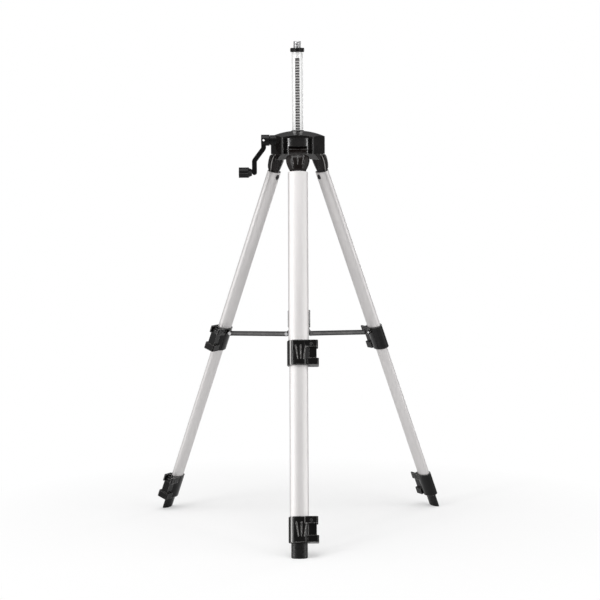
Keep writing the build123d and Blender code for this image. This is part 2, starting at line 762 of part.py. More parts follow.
def build_glide(name, leg, tube_start, bore_inset, guide_inset):
    """Plastic bearing plugged into the top of a sliding tube."""
    with BuildPart() as glide:
        with BuildSketch(leg.at(tube_start)):
            oval(guide_inset + SLIDING)
        extrude(amount=-GLIDE_FLANGE)
        with BuildSketch(leg.at(tube_start)):
            oval(bore_inset + PRESS)
        extrude(amount=GLIDE_PLUG)
    save(name, glide)


def build_foot(name, leg):
    floor = Plane((0, 0, floor_z))
    with BuildPart() as foot:
        with BuildSketch(leg.at(lower_end)):
            oval(lower_outer + FOOT_INSET)
        extrude(amount=2 * FOOT_SHOWN)
        split(bisect_by=floor, keep=Keep.TOP)
        sole = foot.faces().sort_by(Axis.Z)[0]
        chamfer(sole.edges(), FOOT_ROUND)
        with BuildSketch(leg.at(lower_end)):
            oval(lower_inner + PRESS)
        extrude(amount=-FOOT_PLUG)
    save(f"{name}_foot", foot)


def build_lock(name, leg, lock_top, outer_inset, with_brace):
    """Moulded collar of a lever lock, with the cheeks that carry its lever."""
    pin_side = lever_pin_side(outer_inset)
    shell = outer_inset - LOCK_WALL
    shell_half = LEG_WIDTH / 2 - shell
    with BuildPart() as ribs:
        with BuildSketch(leg.at(lock_top)):
            oval(shell - RIB_HEIGHT)
        extrude(amount=LOCK_LENGTH)
        with BuildSketch(leg.side):
            fan_of_ribs(lock_top, LOCK_RIBS)
        extrude(amount=-LEG_WIDTH, mode=Mode.INTERSECT)
    with BuildPart() as lock:
        with BuildSketch(leg.at(lock_top)):
            oval(shell)
        extrude(amount=LOCK_LENGTH)
        rims = lock.faces().filter_by(leg.section).edges()
        chamfer(rims, LOCK_RIM_ROUND)
        add(ribs.part)
        # Cheeks: a block at the collar's top, slotted for the lever.
        with BuildSketch(leg.at(lock_top)):
            side_block(shell_half / 2, pin_side + CHEEK_REACH, cheek_outer)
        extrude(amount=CHEEK_HEIGHT)
        with BuildSketch(leg.side):
            with Locations((shell_half, lock_top)):
                Rectangle(2 * CHEEK_REACH, 2 * CHEEK_HEIGHT, align=(Align.MIN, Align.CENTER))
        extrude(amount=cheek_inner, both=True, mode=Mode.SUBTRACT)
        cut_cam_window(leg, lock_top, pin_side)
        with BuildSketch(leg.side):
            with Locations((pin_side, lock_top + pin_drop)):
                Circle(LEVER_PIN_RADIUS + PRESS)
        extrude(amount=cheek_outer, both=True, mode=Mode.SUBTRACT)
        if with_brace:
            # Lug for the brace on the inner face.
            with BuildSketch(leg.cross):
                with Locations((-brace_set, brace_station)):
                    Circle(brace_end)
                with Locations((-brace_set, brace_station)):
                    Rectangle(brace_set, 2 * brace_end, align=(Align.MIN, Align.CENTER))
            extrude(amount=LUG_THICKNESS / 2, both=True)
            with BuildSketch(leg.cross):
                with Locations((-brace_set, brace_station)):
                    Circle(RIVET_RADIUS + PRESS)
            extrude(amount=LUG_THICKNESS, both=True, mode=Mode.SUBTRACT)
        # Bores: the fixed tube above, the sliding tube below.
        with BuildSketch(leg.at(lock_top)):
            oval(outer_inset - PRESS)
        extrude(amount=LOCK_SEAT + PRESS, mode=Mode.SUBTRACT)
        with BuildSketch(leg.at(lock_top)):
            oval(outer_inset + TUBE_WALL + TUBE_GAP - SLIDING)
        extrude(amount=LOCK_LENGTH, mode=Mode.SUBTRACT)
    save(name, lock)


def build_lever(name, leg, lock_top, outer_inset):
    """Flip lever: an eccentric cam, a tongue between the cheeks, and a broad finger pad."""
    pin_side = lever_pin_side(outer_inset)
    shell = outer_inset - LOCK_WALL
    inner = LEG_WIDTH / 2 - shell - LEVER_WRAP
    waist = pin_side + LEVER_WAIST
    pin_station = lock_top + pin_drop
    tip = lock_top + LOCK_LENGTH - LEVER_SHORT
    pad_top = tip - LEVER_PAD
    with BuildPart() as lever:
        with BuildSketch(leg.at(pad_top)):
            side_block(inner, pin_side + LEVER_REACH, PAD_HALF)
        extrude(amount=LEVER_PAD)
        with BuildSketch(leg.side):
            with BuildLine():
                Polyline(
                    (inner, pin_station),
                    (waist - TONGUE_CORNER, pin_station),
                    (waist, pin_station + TONGUE_CORNER),
                    (waist, pad_top),
                    (inner, pad_top),
                    close=True,
                )
            make_face()
        extrude(amount=CAM_HALF, both=True)
        # The inner side is hollowed to lie against the collar.
        with BuildSketch(leg.at(lock_top)):
            oval(shell - SLIDING)
        extrude(amount=LOCK_LENGTH, mode=Mode.SUBTRACT)
        with BuildSketch(leg.side):
            with Locations((pin_side - CAM_OFFSET, pin_station)):
                Circle(CAM_RADIUS)
        extrude(amount=CAM_HALF, both=True)
        with BuildSketch(leg.side):
            with Locations((pin_side, pin_station)):
                Circle(LEVER_PIN_RADIUS + RUNNING)
        extrude(amount=CAM_HALF, both=True, mode=Mode.SUBTRACT)
    save(name, lever)


def add_lever_pin(leg, lock_top, outer_inset):
    """Adds a lever's pin to the open part, a little proud of both cheeks."""
    with BuildSketch(leg.side) as shank:
        with Locations((lever_pin_side(outer_inset), lock_top + pin_drop)):
            Circle(LEVER_PIN_RADIUS)
    extrude(shank.sketch, amount=cheek_outer + LEVER_PIN_PROUD, both=True)


def build_upper_pins(name, leg):
    with BuildPart() as pins:
        add_lever_pin(leg, upper_lock, 0)
        # Rivet that the brace turns on, with its head outside the brace.
        with BuildSketch(leg.cross.offset(brace_outer + PRESS)):
            with Locations((-brace_set, brace_station)):
                Circle(RIVET_HEAD_RADIUS)
        extrude(amount=RIVET_HEAD)
        with BuildSketch(leg.cross.offset(-LUG_THICKNESS / 2)):
            with Locations((-brace_set, brace_station)):
                Circle(RIVET_RADIUS)
        extrude(amount=LUG_THICKNESS / 2 + brace_outer + PRESS)
    save(f"{name}_upper_pins", pins)


def build_lower_pin(name, leg):
    with BuildPart() as pin:
        add_lever_pin(leg, lower_lock, middle_outer)
    save(f"{name}_lower_lever_pin", pin)


# Spreader


def brace_outline(half):
    """Adds a round-ended bar between the two pivots to the open sketch."""
    start = Vector(HUB_PIVOT_RADIUS, hub_pivot_z)
    end = Vector(lock_pivot_r, lock_pivot_z)
    along = (end - start).normalized()
    across = Vector(-along.Y, along.X) * half
    with BuildLine(Plane.XY) as bar:
        Polyline(start + across, end + across, end - across, start - across, close=True)
    make_face(bar.edges())
    with Locations((start.X, start.Y), (end.X, end.Y)):
        Circle(half)


def build_brace(name, frame):
    with BuildPart() as brace:
        with BuildSketch(frame.plane.offset(-brace_outer)):
            brace_outline(BRACE_HEIGHT / 2)
        extrude(amount=BRACE_THICKNESS)
        # Rolled groove along each face, stopping short of the pivots.
        start = Vector(HUB_PIVOT_RADIUS, hub_pivot_z)
        end = Vector(lock_pivot_r, lock_pivot_z)
        along = (end - start).normalized()
        tilt = math.degrees(math.atan2(along.Y, along.X))
        middle = (start + end) * 0.5
        groove_length = (end - start).length - 3 * BRACE_HEIGHT
        for depth, into in ((brace_outer, 1), (brace_inner, -1)):
            with BuildSketch(frame.plane.offset(-depth)):
                with Locations(Location((middle.X, middle.Y), tilt)):
                    Rectangle(groove_length, BRACE_GROOVE)
            extrude(amount=into * BRACE_GROOVE_DEPTH, mode=Mode.SUBTRACT)
        with BuildSketch(frame.plane.offset(-brace_outer)):
            with Locations((start.X, start.Y)):
                Circle(RIVET_RADIUS + PRESS)
            with Locations((end.X, end.Y)):
                Circle(RIVET_RADIUS + RUNNING)
        extrude(amount=BRACE_THICKNESS, mode=Mode.SUBTRACT)
    save(f"{name}_brace", brace)


def build_brace_rivet(name, frame):
    """Rivet at the hub end of a brace; its shank ends flush with the brace."""
    with BuildPart() as rivet:
        with BuildSketch(frame.plane.offset(-brace_outer)):
            with Locations((HUB_PIVOT_RADIUS, hub_pivot_z)):
                Circle(RIVET_HEAD_RADIUS)
        extrude(amount=-RIVET_HEAD)
        with BuildSketch(frame.plane.offset(-brace_outer)):
            with Locations((HUB_PIVOT_RADIUS, hub_pivot_z)):
                Circle(RIVET_RADIUS)
        extrude(amount=BRACE_THICKNESS)
    save(f"{name}_brace_rivet", rivet)


def build_hub():
    sleeve_bottom = hub_pivot_z + HUB_LIFT
    sleeve_top = sleeve_bottom + HUB_HEIGHT
    with BuildPart() as hub:
        with BuildSketch(Plane.XY.offset(sleeve_bottom)):
            Circle(HUB_RADIUS)
        extrude(amount=HUB_HEIGHT)
        for azimuth in LEGS.values():
            frame = BraceFrame(azimuth)
            lug_root = HUB_RADIUS - HUB_WALL
            with BuildSketch(frame.plane):
                with Locations((HUB_PIVOT_RADIUS, hub_pivot_z)):
                    Circle(brace_end)
                with BuildLine():
                    Polyline(
                        (lug_root, hub_pivot_z - brace_end / 2),
                        (HUB_PIVOT_RADIUS, hub_pivot_z - brace_end),
                        (HUB_PIVOT_RADIUS + brace_end, hub_pivot_z),
                        (HUB_RADIUS, hub_pivot_z + 2 * brace_end),
                        (HUB_RADIUS, sleeve_bottom + HUB_WALL),
                        (lug_root, sleeve_bottom + HUB_WALL),
                        close=True,
                    )
                make_face()
            extrude(amount=LUG_THICKNESS / 2, both=True)
            # Tail of the pivot, on the lug's free side.
            with BuildSketch(frame.plane.offset(LUG_THICKNESS / 2)):
                with Locations((HUB_PIVOT_RADIUS, hub_pivot_z)):
                    Circle(RIVET_HEAD_RADIUS)
            extrude(amount=RIVET_HEAD)
        with BuildSketch(Plane.XY.offset(sleeve_bottom)):
            Circle(HUB_RADIUS - HUB_WALL)
        extrude(amount=HUB_HEIGHT - HUB_WALL, mode=Mode.SUBTRACT)
        # Slots beside the lugs that the braces swing up into.
        slot_far = brace_outer + RIVET_HEAD + SLIDING
        slot_near = brace_inner - SLIDING
        for azimuth in LEGS.values():
            with BuildSketch(BraceFrame(azimuth).plane.offset(-slot_far)):
                with Locations((HUB_RADIUS - 2 * HUB_WALL, sleeve_bottom - HUB_WALL)):
                    Rectangle(3 * HUB_WALL, HUB_HEIGHT / 2, align=(Align.MIN, Align.MIN))
            extrude(amount=slot_far - slot_near, mode=Mode.SUBTRACT)
        with BuildSketch(Plane.XY.offset(sleeve_top)):
            Circle(HUB_TOP_HOLE)
        extrude(amount=-HUB_WALL, mode=Mode.SUBTRACT)
        rim = hub.edges().filter_by(GeomType.CIRCLE).group_by(Axis.Z)[-1].sort_by(SortBy.RADIUS)[-1]
        chamfer(rim, HUB_WALL / 2)
    save("spreader_hub", hub)


def main():
    os.makedirs("parts", exist_ok=True)
    build_stud()
    build_platform()
    build_column()
    build_rack()
    build_column_stop()
    build_head()
    build_column_bush()
    build_hinge_pins()
    build_crank_bush()
    build_pinion_shaft()
    arm_face = build_crank_arm()
    build_grip_axle(arm_face)
    build_grip(arm_face)
    build_hub()
    for name, azimuth in LEGS.items():
        leg = LegFrame(azimuth)
        brace = BraceFrame(azimuth)
        build_leg_cap(name, leg)
        build_upper_tube(name, leg)
        build_lock(f"{name}_upper_lock", leg, upper_lock, 0, True)
        build_lever(f"{name}_upper_lever", leg, upper_lock, 0)
        build_upper_pins(name, leg)
        build_middle_tube(name, leg)
        build_glide(f"{name}_middle_glide", leg, middle_top, middle_inner, upper_inner)
        build_lock(f"{name}_lower_lock", leg, lower_lock, middle_outer, False)
        build_lever(f"{name}_lower_lever", leg, lower_lock, middle_outer)
        build_lower_pin(name, leg)
        build_lower_tube(name, leg)
        build_glide(f"{name}_lower_glide", leg, lower_top, lower_inner, middle_inner)
        build_foot(name, leg)
        build_brace(name, brace)
        build_brace_rivet(name, brace)


main()
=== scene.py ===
import json
import math

import bmesh
import bpy
from mathutils import Matrix, Vector

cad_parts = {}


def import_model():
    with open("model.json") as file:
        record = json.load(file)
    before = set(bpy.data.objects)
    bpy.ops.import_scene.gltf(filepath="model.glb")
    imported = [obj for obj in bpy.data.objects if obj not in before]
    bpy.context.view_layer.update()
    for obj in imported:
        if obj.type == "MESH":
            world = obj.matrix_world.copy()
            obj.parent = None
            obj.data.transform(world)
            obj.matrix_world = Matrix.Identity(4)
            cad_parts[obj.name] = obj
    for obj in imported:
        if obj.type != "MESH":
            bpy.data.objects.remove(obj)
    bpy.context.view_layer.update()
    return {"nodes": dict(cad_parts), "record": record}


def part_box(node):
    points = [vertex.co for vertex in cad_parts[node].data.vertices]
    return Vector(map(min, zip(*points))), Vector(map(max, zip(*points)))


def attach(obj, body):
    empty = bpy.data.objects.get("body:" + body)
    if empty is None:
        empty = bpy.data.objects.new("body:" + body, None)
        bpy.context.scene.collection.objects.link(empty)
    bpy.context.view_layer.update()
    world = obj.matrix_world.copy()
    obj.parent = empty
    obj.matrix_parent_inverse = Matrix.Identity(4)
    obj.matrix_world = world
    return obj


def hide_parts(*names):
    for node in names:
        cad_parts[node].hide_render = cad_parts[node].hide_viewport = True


# Looks of the laser level tripod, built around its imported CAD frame, in metres with +Z up
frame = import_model()
nodes = frame["nodes"]
scene = bpy.context.scene

MM = 0.001
INCH = 25.4 * MM
X, Y, UP = Vector((1, 0, 0)), Vector((0, 1, 0)), Vector((0, 0, 1))

# Legs
LEGS = {"front": -90.0, "right": 30.0, "left": 150.0}  # azimuths in degrees
SPLAY = math.radians(20.83)
FLOOR_Z = min(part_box(f"{leg}_foot")[0].z for leg in LEGS)
PIN_EDGE = 13 * MM  # sideways on a leg, between the brace's rivet and the lever pin

# Painted highlight lines along the caps and the locks, where their rounded sides catch the light
CAP_HIGHLIGHT_LINE = {"share": 0.5, "width": 1.2 * MM, "start": 0.15, "other_side": 1.0}
LOCK_HIGHLIGHT_LINE = {"share": 0.95, "width": 0.8 * MM, "start": -0.1, "other_side": 0.0}

# Head: its three barrels shine more than its other faces
BARREL_REACH = 44.3 * MM  # from the column's axis, just beyond the barrels' faces
BRIM_DROP = 13.8 * MM  # top of the head to the underside of its brim
BARREL_EDGE = 0.3 * MM

# Stud's thread
THREADS_PER_INCH = 11
THREAD_ROOT = 6.75 * MM
THREAD_RUN_OUT = 1.0 * MM  # height above the seat in which the thread deepens
THREAD_STEPS = 12  # rings to one turn
RIDGE_PEAK, RIDGE_FALL = 1.35, 3.4  # ridge's middle and its fall over one pitch, cut flat at 1 and at 0
CHAMFER_SLOPE = 0.98
NECK_RADIUS = 7.0 * MM
NECK_TOP = -0.01 * MM
STUD_AROUND = 72

# Caps' screws
SCREW_DROP = 9.0 * MM  # top of the tube to the screw's axis
SCREW_AROUND = 64

# Caps' screws: rings of (radius, height) and the cross recess, in millimetres
SCREW_RIM = [(5.2, -0.6), (5.2, 0.5), (5.0, 0.9), (4.6, 1.25), (4.2, 1.45)]
SCREW_CROWN = [(3.95, 1.55), (3.85, 1.58), (3.0, 1.75), (2.0, 1.9), (1.0, 1.98), (0.85, 1.98), (0.2, 2.0)]
RECESS_FROM, RECESS_TO, RECESS_HALF, RECESS_DEPTH = 0.9, 3.9, 2.2, 1.6

# Edges of the scene's own pieces that turn by more than this stay sharp
SHARP_ANGLE = math.radians(35)

# Floor
FLOOR_RADIUS = 1.5
FLOOR_SEGMENTS = 96
SHADOW_NEAR, SHADOW_FAR = 0.3, 0.75  # the shadow fades between these distances from the column
NEAR_WHITE = 0.35  # plain white mixed into the floor up to the first of them
FLOOR_SEEN, FLOOR_BOUNCE = (0.95, 0.95, 0.95), (0.74, 0.74, 0.74)  # to the camera and to all else

# Light: brightness of the light tent's sides and of the gap, room, ceiling and paper
TENT_LEFT, TENT_RIGHT, GAP = 1.1, 1.25, 0.18
ROOM, CEILING, PAPER = 0.14, 0.5, 1.0

# Light: where each of them starts and ends, along the direction's X, Y or Z
TENT_EDGE = 0.45, 0.85
LEFT_END, RIGHT_END = (0.1, 0.5), (-0.1, 0.3)
PAPER_EDGE, HORIZON, CEILING_EDGE = (0.8, 0.95), (-0.03, 0.03), (0.3, 0.95)

# Point that the lamps face
LAMPS_AIM = Vector((0, 0, -0.45))

# Camera: the photograph's viewing angle
PHOTO_WIDTH = 600  # pixels
FOCAL_PIXELS = 2033
SENSOR_WIDTH = 36
HEADING, PITCH, ROLL = math.radians(0.34), math.radians(5.70), math.radians(-0.39)
CAMERA_PLACE = Vector((0.00214, -4.066, FLOOR_Z + 0.8594))


def leg_axes(leg):
    """A leg's own axes: sideways, out of its outer face, and down the leg."""
    angle = math.radians(LEGS[leg])
    outward = Vector((math.cos(angle), math.sin(angle), 0))
    sideways = Vector((-outward.y, outward.x, 0))
    face = outward * math.cos(SPLAY) + UP * math.sin(SPLAY)
    down = outward * math.sin(SPLAY) - UP * math.cos(SPLAY)
    return sideways, face, down


def leg_of(name):
    """The leg that a node's name starts with."""
    return name.split("_")[0]


def reach(name, axis):
    """Least and greatest distance of a CAD node along an axis."""
    spots = [(nodes[name].matrix_world @ vertex.co).dot(axis) for vertex in nodes[name].data.vertices]
    return min(spots), max(spots)


# Node helpers
class Shader:
    """A material's node tree with one principled shader."""

    def __init__(self, name):
        self.material = bpy.data.materials.new(name)
        self.material.use_nodes = True
        self.tree = self.material.node_tree
        self.tree.nodes.clear()
        self.output = self.add("ShaderNodeOutputMaterial")
        self.bsdf = self.add("ShaderNodeBsdfPrincipled")
        self.link(self.bsdf.outputs["BSDF"], self.output.inputs["Surface"])
        self.coords = self.add("ShaderNodeTexCoord").outputs["Object"]

    def add(self, kind, **settings):
        node = self.tree.nodes.new(kind)
        for key, value in settings.items():
            setattr(node, key, value)
        return node

    def link(self, source, target):
        self.tree.links.new(source, target)

    def set(self, **values):
        """Constant values of the principled shader."""
        for key, value in values.items():
            self.bsdf.inputs[key.replace("_", " ")].default_value = value

    def drive(self, **sockets):
        """Sockets that feed the principled shader."""
        for key, source in sockets.items():
            self.link(source, self.bsdf.inputs[key.replace("_", " ")])

    def noise(self, scale, detail=2.0, roughness=0.5, vector=None):
        node = self.add("ShaderNodeTexNoise")
        for key, number in (("Scale", scale), ("Detail", detail), ("Roughness", roughness)):
            node.inputs[key].default_value = number
        self.link(vector or self.coords, node.inputs["Vector"])
        return node.outputs["Fac"]

    def ramp(self, value, low, high, start=0.35, end=0.65):
        """Low to high as a value goes from start to end, by default over most of a noise's range."""
        node = self.add("ShaderNodeMapRange")
        for key, number in (("From Min", start), ("From Max", end), ("To Min", low), ("To Max", high)):
            node.inputs[key].default_value = number
        self.link(value, node.inputs["Value"])
        return node.outputs["Result"]

    def mix(self, factor, first, second):
        """Colour between two colours or colour sockets."""
        node = self.add("ShaderNodeMix", data_type="RGBA")
        self.link(factor, node.inputs["Factor"])
        colours = [socket for socket in node.inputs if socket.type == "RGBA"]
        for socket, value in zip(colours, (first, second)):
            if isinstance(value, tuple):
                socket.default_value = (*value, 1)
            else:
                self.link(value, socket)
        return [socket for socket in node.outputs if socket.type == "RGBA"][0]

    def math(self, operation, *values):
        node = self.add("ShaderNodeMath", operation=operation)
        for socket, value in zip(node.inputs, values):
            if isinstance(value, (int, float)):
                socket.default_value = value
            else:
                self.link(value, socket)
        return node.outputs[0]

    def along(self, axis, scale=1.0):
        """Distance along an axis."""
        dot = self.add("ShaderNodeVectorMath", operation="DOT_PRODUCT")
        self.link(self.coords, dot.inputs[0])
        dot.inputs[1].default_value = axis * scale
        return dot.outputs["Value"]

    def length(self, vector):
        node = self.add("ShaderNodeVectorMath", operation="LENGTH")
        self.link(vector, node.inputs[0])
        return node.outputs["Value"]

    def radius(self):
        """Distance from the column's axis."""
        flat = self.add("ShaderNodeVectorMath", operation="MULTIPLY")
        self.link(self.coords, flat.inputs[0])
        flat.inputs[1].default_value = (1, 1, 0)
        return self.length(flat.outputs[0])

    def stretched(self, axes, scales):
        """Coordinates along three given axes, each scaled."""
        combine = self.add("ShaderNodeCombineXYZ")
        for socket, axis, scale in zip(combine.inputs, axes, scales):
            self.link(self.along(axis, scale), socket)
        return combine.outputs[0]

    def band(self, axis, level, inner, outer):
        """1 near a level along an axis, falling to 0 between two distances from it."""
        off = self.math("ABSOLUTE", self.math("SUBTRACT", self.along(axis), level))
        return self.ramp(off, 1.0, 0.0, inner, outer)

    def rounded(self, radius):
        """Normal that runs softly over edges, as a small moulded round does."""
        bevel = self.add("ShaderNodeBevel", samples=6)
        bevel.inputs["Radius"].default_value = radius
        return bevel.outputs["Normal"]

    def edges(self, normal):
        """1 along edges, 0 on flat ground."""
        geometry = self.add("ShaderNodeNewGeometry")
        dot = self.add("ShaderNodeVectorMath", operation="DOT_PRODUCT")
        self.link(normal, dot.inputs[0])
        self.link(geometry.outputs["Normal"], dot.inputs[1])
        return self.ramp(dot.outputs["Value"], 1.0, 0.0, 0.82, 1.0)

    def bump(self, height, strength, distance, normal=None):
        node = self.add("ShaderNodeBump")
        node.inputs["Strength"].default_value = strength
        node.inputs["Distance"].default_value = distance
        self.link(height, node.inputs["Height"])
        if normal:
            self.link(normal, node.inputs["Normal"])
        self.drive(Normal=node.outputs["Normal"])


def shade(colour, factor):
    """A colour made darker or lighter."""
    return tuple(channel * factor for channel in colour)


# Kinds of material
def plastic(name, colour, wear_and_highlight_colour, rough, specular, grain=0.12, soft=0.8 * MM, highlight_line=None, shiny=None):
    """Moulded plastic: rounded edges, uneven sheen, fine grain, paler along its edges, partly as wear and
    partly as painted edge highlight.

    Two optional functions of the shader give masks: one of painted highlight lines, drawn in the pale edge
    colour, and one of the shiniest faces.
    """
    s = Shader(name)
    tone = s.mix(s.ramp(s.noise(45, 3), 0.0, 1.0), shade(colour, 0.8), shade(colour, 1.25))
    normal = s.rounded(soft)
    # Pale edges: part wear, part painted highlight where edges catch the light
    wear_and_highlight = s.math("MULTIPLY", s.edges(normal), s.ramp(s.noise(320, 4), 0.4, 1.0, 0.4, 0.62))
    if highlight_line:
        wear_and_highlight = s.math("MAXIMUM", wear_and_highlight, highlight_line(s))
    s.drive(Base_Color=s.mix(wear_and_highlight, tone, wear_and_highlight_colour), Roughness=s.ramp(s.noise(90, 4), rough - 0.04, rough + 0.05))
    s.bump(s.noise(2600, 2), grain, 0.05 * MM, normal)
    s.set(Specular_IOR_Level=specular)
    if shiny:
        s.drive(Specular_IOR_Level=s.ramp(shiny(s), specular, 1.0))
    return s.material


def barrel_faces(s):
    """1 on the head's barrels, which lie nearer to the axis than its other faces and under its brim."""
    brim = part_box("head")[1].z - BRIM_DROP
    inside = s.ramp(s.radius(), 1.0, 0.0, BARREL_REACH - BARREL_EDGE, BARREL_REACH + BARREL_EDGE)
    under = s.ramp(s.along(UP), 1.0, 0.0, brim - BARREL_EDGE, brim + BARREL_EDGE)
    return s.math("MULTIPLY", inside, under)


def moulded(name, tube, colour, wear_and_highlight_colour, rough, specular, share, width, start, other_side):
    """Black plastic of a leg's cap or lock, with a painted highlight line along its sides where its rounded
    corner catches the light.

    Share places the line in the tube's thickness, from its inner face. Start gives its upper end, as a share
    of the piece's length. The line's strength on the leg's second side is other_side.
    """
    sideways, face, down = leg_axes(leg_of(name))
    inner, outer = reach(tube, face)
    top, bottom = reach(name, down)
    first = top + start * (bottom - top)

    # Painted highlight: a pale line along the side, where the rounded corner catches the light
    def painted_highlight_line(s):
        line = s.band(face, inner + share * (outer - inner), width * 0.25, width)
        line = s.math("MULTIPLY", line, s.ramp(s.along(down), 0.0, 1.0, first, first + 4 * MM))
        return s.math("MULTIPLY", line, s.ramp(s.along(sideways), 1.0, other_side, -2 * MM, 2 * MM))

    return plastic(f"{name}_black", colour, wear_and_highlight_colour, rough, specular, soft=1.2 * MM, highlight_line=painted_highlight_line)


def aluminium(leg):
    """Satin anodised extrusion: fine draw lines along the leg and a faint warm cast."""
    s = Shader(f"{leg}_aluminium")
    lines = s.noise(1.0, 3, 0.6, s.stretched(leg_axes(leg), (2600, 2600, 14)))
    broad = s.noise(1.0, 2, 0.5, s.stretched(leg_axes(leg), (60, 60, 5)))
    tone = s.mix(s.ramp(broad, 0.0, 1.0), (0.755, 0.735, 0.73), (0.795, 0.775, 0.77))
    s.drive(
        Base_Color=s.mix(s.ramp(lines, 0.0, 0.3), tone, (0.70, 0.68, 0.675)),
        Roughness=s.ramp(lines, 0.44, 0.54),
    )
    s.bump(lines, 0.1, 0.03 * MM)
    s.set(Metallic=0.62)
    return s.material


def polished(name, colour, rough, spread, metallic=1.0):
    """Plated or bare steel with faint marks from handling."""
    s = Shader(name)
    s.drive(
        Base_Color=s.mix(s.ramp(s.noise(120, 4), 0.0, 1.0), colour, shade(colour, 0.86)),
        Roughness=s.ramp(s.noise(260, 5), rough, rough + spread),
    )
    s.bump(s.noise(1900, 2), 0.06, 0.03 * MM)
    s.set(Metallic=metallic)
    return s.material


def white_tube(name):
    """Bright satin column: almost white, with the faintest draw lines."""
    s = Shader(name)
    lines = s.noise(1.0, 3, 0.6, s.stretched((X, Y, UP), (1400, 1400, 8)))
    s.drive(
        Base_Color=s.mix(s.ramp(lines, 0.0, 1.0), (0.93, 0.93, 0.925), (0.97, 0.97, 0.965)),
        Roughness=s.ramp(lines, 0.2, 0.3),
    )
    s.bump(lines, 0.05, 0.02 * MM)
    s.set(Metallic=0.15)
    return s.material


def rack(name):
    """Toothed rack: grey lands, and gaps painted darker as painted shade between the teeth."""
    s = Shader(name)
    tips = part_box("column_rack")[0].y
    # Painted shade: darker with depth into the gaps between the teeth
    gap_shade = s.ramp(s.along(Y), 0.0, 1.0, tips + 0.7 * MM, tips + 2.2 * MM)
    land = s.mix(s.ramp(s.noise(400, 4), 0.0, 1.0), (0.5, 0.495, 0.49), (0.6, 0.595, 0.59))
    shaded_gap = s.mix(s.ramp(s.noise(300, 4), 0.0, 1.0), (0.2, 0.197, 0.195), (0.27, 0.267, 0.265))
    s.drive(Base_Color=s.mix(gap_shade, land, shaded_gap), Roughness=s.ramp(s.noise(350, 4), 0.35, 0.5))
    s.bump(s.noise(1500, 3), 0.1, 0.04 * MM)
    s.set(Metallic=0.2)
    return s.material


def brace_line(leg):
    """Axis across a brace's face, the level of its middle line and its half height."""
    outward = leg_axes(leg)[1].to_2d().normalized().to_3d()
    low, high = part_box(f"{leg}_brace")
    rivet_low, rivet_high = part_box(f"{leg}_brace_rivet")
    hub = (rivet_low + rivet_high) / 2
    half = high.z - hub.z
    corners = [Vector((x, y, 0)).dot(outward) for x in (low.x, high.x) for y in (low.y, high.y)]
    far = max(corners) - half
    slope = (low.z + half - hub.z) / (far - hub.dot(outward))
    axis = UP - outward * slope
    return axis, axis.dot(hub), half


def painted(leg):
    """Dark painted steel strip of a brace: a rolled groove along its middle whose floor is made paler as
    painted light, and edges paler, partly rubbed to metal and partly painted highlight.
    """
    s = Shader(f"{leg}_brace_black")
    colour, wear_and_highlight_colour, lit_groove_colour = (0.012, 0.012, 0.0125), (0.2, 0.2, 0.2), (0.13, 0.127, 0.126)
    axis, level, half = brace_line(leg)
    normal = s.rounded(0.6 * MM)
    wear_and_highlight = s.math("MULTIPLY", s.edges(normal), s.ramp(s.noise(420, 4), 0.0, 1.0, 0.45, 0.6))
    # Painted light: the groove's floor paler, as where light falls into it
    painted_lit_groove = s.mix(s.band(axis, level, half * 0.35, half * 0.65), colour, lit_groove_colour)
    tone = s.mix(s.ramp(s.noise(70, 3), 0.0, 0.35), painted_lit_groove, shade(colour, 1.6))
    s.drive(Base_Color=s.mix(wear_and_highlight, tone, wear_and_highlight_colour), Roughness=s.ramp(s.noise(180, 4), 0.28, 0.4))
    s.bump(s.noise(1300, 3), 0.12, 0.06 * MM, normal)
    s.set(Metallic=0.3)
    return s.material


def two_pins(leg):
    """Bright rivet of a brace and dark lever pin beside it, in one node."""
    s = Shader(f"{leg}_pin_steel")
    beside = s.ramp(s.along(leg_axes(leg)[0]), 0.0, 1.0, PIN_EDGE - 0.5 * MM, PIN_EDGE + 0.5 * MM)
    bright = s.mix(s.ramp(s.noise(160, 4), 0.0, 1.0), (0.95, 0.95, 0.95), (0.88, 0.88, 0.885))
    s.drive(
        Base_Color=s.mix(beside, bright, (0.05, 0.05, 0.051)),
        Roughness=s.ramp(s.noise(260, 5), 0.3, 0.42),
    )
    s.bump(s.noise(1900, 2), 0.06, 0.03 * MM)
    s.set(Metallic=0.4)
    return s.material


def rubber(name, colour):
    """Rubber with scuffs and a fine open grain."""
    s = Shader(name)
    scuff = s.ramp(s.noise(210, 5, 0.65), 0.0, 1.0, 0.48, 0.7)
    s.drive(
        Base_Color=s.mix(scuff, colour, shade(colour, 2.2)),
        Roughness=s.ramp(s.noise(150, 3), 0.22, 0.34),
    )
    s.bump(s.noise(1700, 3), 0.3, 0.1 * MM)
    s.set(Specular_IOR_Level=0.35)
    return s.material


def leg_plastics():
    """Plastics of all caps and locks, by node name."""
    # Pale edge colours of the caps and locks: part wear, part painted highlight, and also the colour of
    # their painted highlight lines
    cap_brown, cap_wear_and_highlight = (0.007, 0.0048, 0.0043), (0.4, 0.39, 0.38)
    lock_black, lock_wear_and_highlight = (0.0035, 0.0033, 0.0033), (0.6, 0.585, 0.575)
    made = {}
    for leg in LEGS:
        cap = f"{leg}_leg_cap"
        made[cap] = moulded(cap, f"{leg}_upper_tube", cap_brown, cap_wear_and_highlight, 0.2, 0.25, **CAP_HIGHLIGHT_LINE)
        for place, tube in (("upper", "upper"), ("lower", "middle")):
            lock = f"{leg}_{place}_lock"
            made[lock] = moulded(lock, f"{leg}_{tube}_tube", lock_black, lock_wear_and_highlight, 0.16, 0.28, **LOCK_HIGHLIGHT_LINE)
    return made


